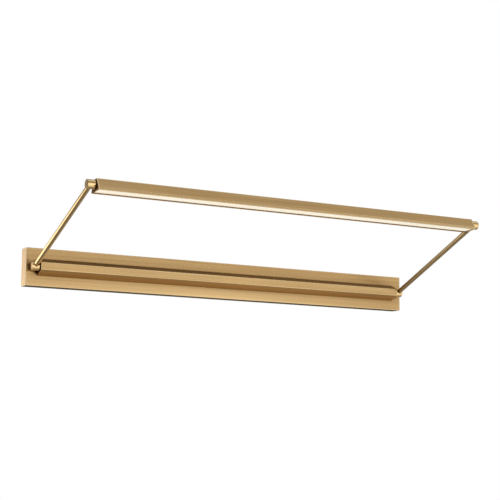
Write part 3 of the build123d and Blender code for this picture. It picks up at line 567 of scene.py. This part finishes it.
SCREW_RIM_STEPS = 5
SHARP_ANGLE = math.radians(32)
TO_SIDE = Vector((1, 0, 0))  # along every pivot axis, to the right
TO_WALL = Vector((0, 1, 0))  # square to it, level


def limits(joint_name):
    """Both ends of a joint's range, in degrees."""
    joint = next(j for j in frame["joints"] if j["name"] == joint_name)
    return joint["range_deg"]


def arc(centre, radius, start, end, steps):
    """Points on an arc of a (radius, height) profile, angles in degrees."""
    points = []
    for step in range(steps + 1):
        angle = math.radians(start + (end - start) * step / steps)
        points.append((centre[0] + radius * math.cos(angle), centre[1] + radius * math.sin(angle)))
    return points


def ring(shape, radius, middle, across, third):
    """A turned ring of vertices, or one vertex on the axis."""
    if radius == 0:
        return [shape.verts.new(middle)]
    places = []
    for step in range(ROUND):
        angle = 2 * math.pi * step / ROUND
        outward = across * math.cos(angle) + third * math.sin(angle)
        places.append(shape.verts.new(middle + outward * radius))
    return places


def turned(profile, along, across, origin, closed=True):
    """Mesh of a profile of (radius, height) points turned about an axis; both directions are unit.

    A closed profile joins its last point to its first. An open one starts and ends on the axis.
    """
    third = along.cross(across)
    shape = bmesh.new()
    rings = [ring(shape, radius, origin + along * height, across, third) for radius, height in profile]
    pairs = zip(rings, rings[1:] + rings[:1]) if closed else zip(rings, rings[1:])
    for first, second in pairs:
        for step in range(ROUND):
            after = (step + 1) % ROUND
            if len(first) == 1:
                shape.faces.new((first[0], second[step], second[after]))
            elif len(second) == 1:
                shape.faces.new((first[step], second[0], first[after]))
            else:
                shape.faces.new((first[step], second[step], second[after], first[after]))
    bmesh.ops.recalc_face_normals(shape, faces=shape.faces)
    return shape


def prism(outline, along, depth):
    """Closed prism over an outline of 3-D points."""
    shape = bmesh.new()
    low = [shape.verts.new(point) for point in outline]
    high = [shape.verts.new(point + along * depth) for point in outline]
    shape.faces.new(low)
    shape.faces.new(high)
    for index in range(len(outline)):
        after = (index + 1) % len(outline)
        shape.faces.new((low[index], low[after], high[after], high[index]))
    bmesh.ops.recalc_face_normals(shape, faces=shape.faces)
    return shape


def merged(*shapes):
    """One bmesh of several; the given ones are freed."""
    whole = bmesh.new()
    for shape in shapes:
        mesh = bpy.data.meshes.new("part")
        shape.to_mesh(mesh)
        shape.free()
        whole.from_mesh(mesh)
        bpy.data.meshes.remove(mesh)
    return whole


def as_object(name, shape):
    """A linked object with the shape as its mesh; the shape is freed."""
    mesh = bpy.data.meshes.new(name)
    shape.to_mesh(mesh)
    shape.free()
    thing = bpy.data.objects.new(name, mesh)
    bpy.context.collection.objects.link(thing)
    return thing


def cut_away(shape, *cutters):
    """The shape with every cutter taken out of it."""
    body = as_object("body", shape)
    tools = [as_object("tool", cutter) for cutter in cutters]
    for tool in tools:
        cut = body.modifiers.new("cut", "BOOLEAN")
        cut.operation = "DIFFERENCE"
        cut.solver = "EXACT"
        cut.object = tool
    done = body.evaluated_get(bpy.context.evaluated_depsgraph_get())
    result = bmesh.new()
    result.from_mesh(done.to_mesh())
    done.to_mesh_clear()
    for thing in [body, *tools]:
        mesh = thing.data
        bpy.data.objects.remove(thing)
        bpy.data.meshes.remove(mesh)
    return result


def finished(name, shape, body, node, slot):
    """Shades the piece, ties it to its body, gives it its slot's material and hides the CAD node that it stands in
    for.
    """
    for face in shape.faces:
        face.smooth = True
    piece = as_object(name, shape)
    piece.data.set_sharp_from_angle(angle=SHARP_ANGLE)
    piece.data.materials.append(materials[slot])
    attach(piece, body)
    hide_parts(node)


def pivot(node):
    """Middle of a node's box, and its length along X."""
    low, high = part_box(node)
    return (low + high) / 2, high.x - low.x


def solder_fillet(centre, rod_axis):
    """Concave ring of solder where a rod enters its hub."""
    across = TO_SIDE.cross(rod_axis).normalized()

    def on_hub(angle, radius, lift):
        sideways = radius * math.sin(angle)
        height = math.sqrt(HUB_RADIUS**2 - sideways**2) + lift
        return centre + TO_SIDE * (radius * math.cos(angle)) + across * sideways + rod_axis * height

    profile = (
        (ROD_RADIUS, 0),
        (ROD_RADIUS, SOLDER_FILLET),
        (ROD_RADIUS + SOLDER_HOLLOW, SOLDER_HOLLOW),
        (ROD_RADIUS + SOLDER_FILLET, 0),
    )
    shape = bmesh.new()
    rows = []
    for step in range(ROUND):
        angle = 2 * math.pi * step / ROUND
        rows.append([shape.verts.new(on_hub(angle, radius, lift)) for radius, lift in profile])
    for row, after in zip(rows, rows[1:] + rows[:1]):
        for index in range(len(profile)):
            other = (index + 1) % len(profile)
            shape.faces.new((row[index], row[other], after[other], after[index]))
    bmesh.ops.recalc_face_normals(shape, faces=shape.faces)
    return shape


def stop_slot(centre, side, low, high):
    """Cutter for the curved slot in a hub's inner face, round its axis from straight below."""
    mouth = centre - TO_SIDE * (side * SLOT_DEPTH)

    def outward(degrees):
        angle = math.radians(degrees)
        return Vector((0, math.cos(angle), math.sin(angle)))

    def round_end(degrees, turn):
        """Points round one end, inwards with turn 1 and outwards with turn -1."""
        middle = mouth + outward(degrees) * SLOT_RADIUS
        along = TO_SIDE.cross(outward(degrees)) * turn
        places = []
        for step in range(1, SLOT_END_STEPS):
            angle = math.pi * step / SLOT_END_STEPS
            offset = outward(degrees) * (turn * math.cos(angle)) + along * math.sin(angle)
            places.append(middle + offset * SLOT_HALF_WIDTH)
        return places

    start, end = 270 + low - SLOT_MARGIN, 270 + high + SLOT_MARGIN
    turns = [start + (end - start) * step / SLOT_STEPS for step in range(SLOT_STEPS + 1)]
    outer = [mouth + outward(degrees) * (SLOT_RADIUS + SLOT_HALF_WIDTH) for degrees in turns]
    inner = [mouth + outward(degrees) * (SLOT_RADIUS - SLOT_HALF_WIDTH) for degrees in reversed(turns)]
    outline = outer + round_end(end, 1) + inner + round_end(start, -1)
    return prism(outline, TO_SIDE * side, 2 * SLOT_DEPTH)


def make_hub(side_name, side, level, rod_axis, turn_limits):
    """Hub with rounded edges, bore, nut pocket, stop slot, and its rod soldered into a socket."""
    node = f"{side_name}_{level}_hub"
    middle, length = pivot(node)
    inner = middle - TO_SIDE * (side * length / 2)
    edge = HUB_RADIUS - HUB_EDGE
    profile = [
        (HUB_BORE + MOUTH_CHAMFER, 0),
        *arc((edge, HUB_EDGE), HUB_EDGE, -90, 0, EDGE_STEPS),
        *arc((edge, length - HUB_EDGE), HUB_EDGE, 0, 90, EDGE_STEPS),
        (HUB_POCKET + MOUTH_CHAMFER, length),
        (HUB_POCKET, length - MOUTH_CHAMFER),
        (HUB_POCKET, HUB_WALL),
        (HUB_BORE, HUB_WALL),
        (HUB_BORE, MOUTH_CHAMFER),
    ]
    body = turned(profile, TO_SIDE * side, TO_WALL, inner)
    rod_middle, _ = pivot(f"{side_name}_rod")
    rod_start = Vector((rod_middle.x, middle.y, middle.z))
    reach = 2 * HUB_RADIUS
    socket_profile = [(0, ROD_SOCKET), (ROD_RADIUS, ROD_SOCKET), (ROD_RADIUS, reach), (0, reach)]
    socket = turned(socket_profile, rod_axis, TO_SIDE, rod_start, closed=False)
    body = cut_away(body, socket, stop_slot(inner, side, *turn_limits))
    whole = merged(body, solder_fillet(rod_start, rod_axis))
    finished(node + "_turned", whole, f"{side_name}_arm", node, "polished_brass")


def make_cap(side_name, side, level):
    """Slightly domed plug in the outer end of a hub."""
    node = f"{side_name}_{level}_hub_cap"
    middle, length = pivot(node)
    inner = middle - TO_SIDE * (side * length / 2)
    profile = [(0, 0), (HUB_POCKET, 0), (HUB_POCKET, length - CAP_DOME - CAP_CHAMFER)]
    for step in range(CAP_STEPS + 1):
        share = 1 - step / CAP_STEPS
        radius = (HUB_POCKET - CAP_CHAMFER) * share
        profile.append((radius, length - CAP_DOME * share**2))
    cap = turned(profile, TO_SIDE * side, TO_WALL, inner, closed=False)
    finished(node + "_turned", cap, f"{side_name}_arm", node, "polished_brass")


def make_rod(side_name, rod_axis, lower, upper):
    """Drawn tube between the sockets of an arm's two hubs."""
    node = f"{side_name}_rod"
    length = (upper - lower).length
    inside = ROD_RADIUS - TUBE_WALL
    profile = [
        (inside, ROD_SOCKET),
        (ROD_RADIUS, ROD_SOCKET),
        (ROD_RADIUS, length - ROD_SOCKET),
        (inside, length - ROD_SOCKET),
    ]
    middle, _ = pivot(node)
    rod = turned(profile, rod_axis, TO_SIDE, Vector((middle.x, lower.y, lower.z)))
    finished(node + "_drawn", rod, f"{side_name}_arm", node, "polished_brass")


def make_arms():
    for side_name, side in (("left", -1), ("right", 1)):
        lower, _ = pivot(f"{side_name}_lower_hub")
        upper, _ = pivot(f"{side_name}_upper_hub")
        rod_axis = (upper - lower).normalized()
        make_rod(side_name, rod_axis, lower, upper)
        for level, axis, joint in (("lower", rod_axis, "arm_tilt"), ("upper", -rod_axis, "head_tilt")):
            make_hub(side_name, side, level, axis, limits(joint))
            make_cap(side_name, side, level)


def screw_blank(head, inward):
    """Countersunk screw without its socket, from the middle of its head."""
    cone = SCREW_HEAD - SCREW_SHANK
    rim = (SCREW_HEAD - SCREW_ROUNDING, SCREW_ROUNDING)
    profile = [
        (0, 0),
        *arc(rim, SCREW_ROUNDING, -90, -20, SCREW_RIM_STEPS),
        (SCREW_SHANK, cone + SCREW_ROUNDING),
        (SCREW_SHANK, SCREW_LENGTH - MOUTH_CHAMFER),
        (SCREW_SHANK - MOUTH_CHAMFER, SCREW_LENGTH),
        (0, SCREW_LENGTH),
    ]
    return turned(profile, inward, TO_SIDE, head, closed=False)


def screw_socket(head, inward):
    """Cutter for the hexagon socket in a screw's head."""
    hexagon = []
    for corner in range(6):
        angle = math.radians(60 * corner)
        around = Vector((math.cos(angle), math.sin(angle), 0)) * SCREW_SOCKET
        hexagon.append(head + around - inward * SCREW_SOCKET_DEPTH)
    return prism(hexagon, inward, 2 * SCREW_SOCKET_DEPTH)


def make_cover_screws():
    """Countersunk socket screws in the top and the underside of the wall box."""
    low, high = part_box("cover_screws")
    screws = []
    for up, level in ((-1, low.z), (1, high.z)):
        inward = Vector((0, 0, -up))
        for x in (low.x + SCREW_HEAD, high.x - SCREW_HEAD):
            head = Vector((x, (low.y + high.y) / 2, level))
            screws.append(cut_away(screw_blank(head, inward), screw_socket(head, inward)))
    finished("cover_screws_turned", merged(*screws), "wall_base", "cover_screws", "brass_screw")


bpy.context.scene.view_settings.view_transform = "Standard"
make_camera()
make_floor()
make_world()
make_softboxes()
materials = make_materials()
finish_cad_nodes(materials)
make_arms()
make_cover_screws()
